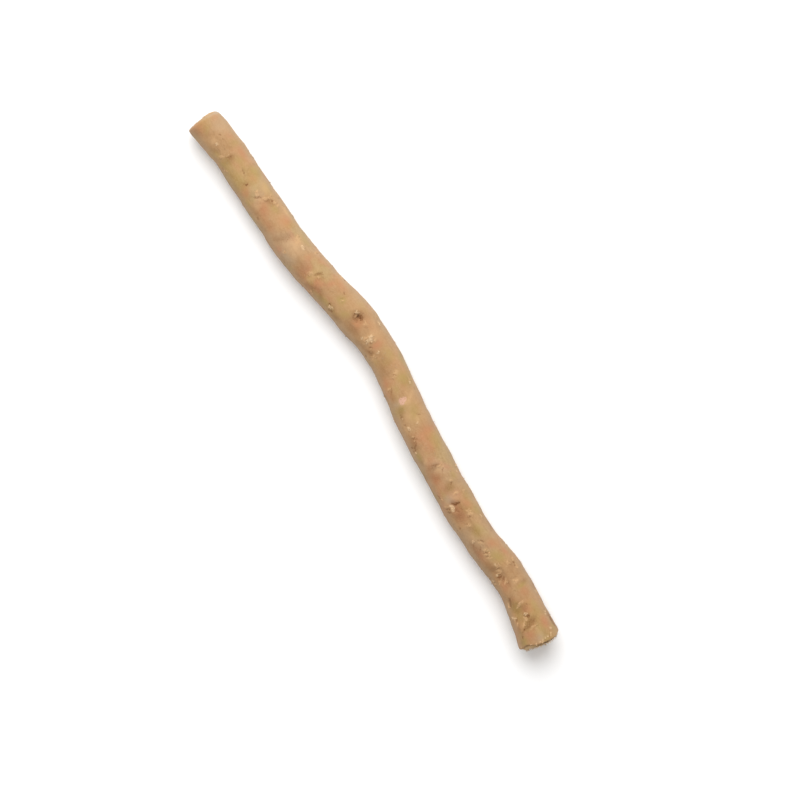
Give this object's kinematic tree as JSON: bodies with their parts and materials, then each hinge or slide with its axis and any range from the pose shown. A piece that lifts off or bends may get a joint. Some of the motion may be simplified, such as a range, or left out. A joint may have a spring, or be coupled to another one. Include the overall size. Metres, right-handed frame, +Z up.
{
  "type": "miswak stick",
  "caption": "Short gently bent root stick with tan bark, a knee, bud and leaf scars, one worn end and one cut end.",
  "frame": {"origin": "on the surface that the stick lies on, under the middle of its box", "axes": "+X along the stick from its worn end to its cut end, +Z up from the surface it lies on"},
  "size_m": [0.1502, 0.015, 0.0103],
  "materials": {
    "bark": "matt tan root bark with pale scuffs and dark scars; cream fibrous wood at the two ends"
  },
  "bodies": {
    "root": {"stick": "bark"}
  },
  "joints": []
}
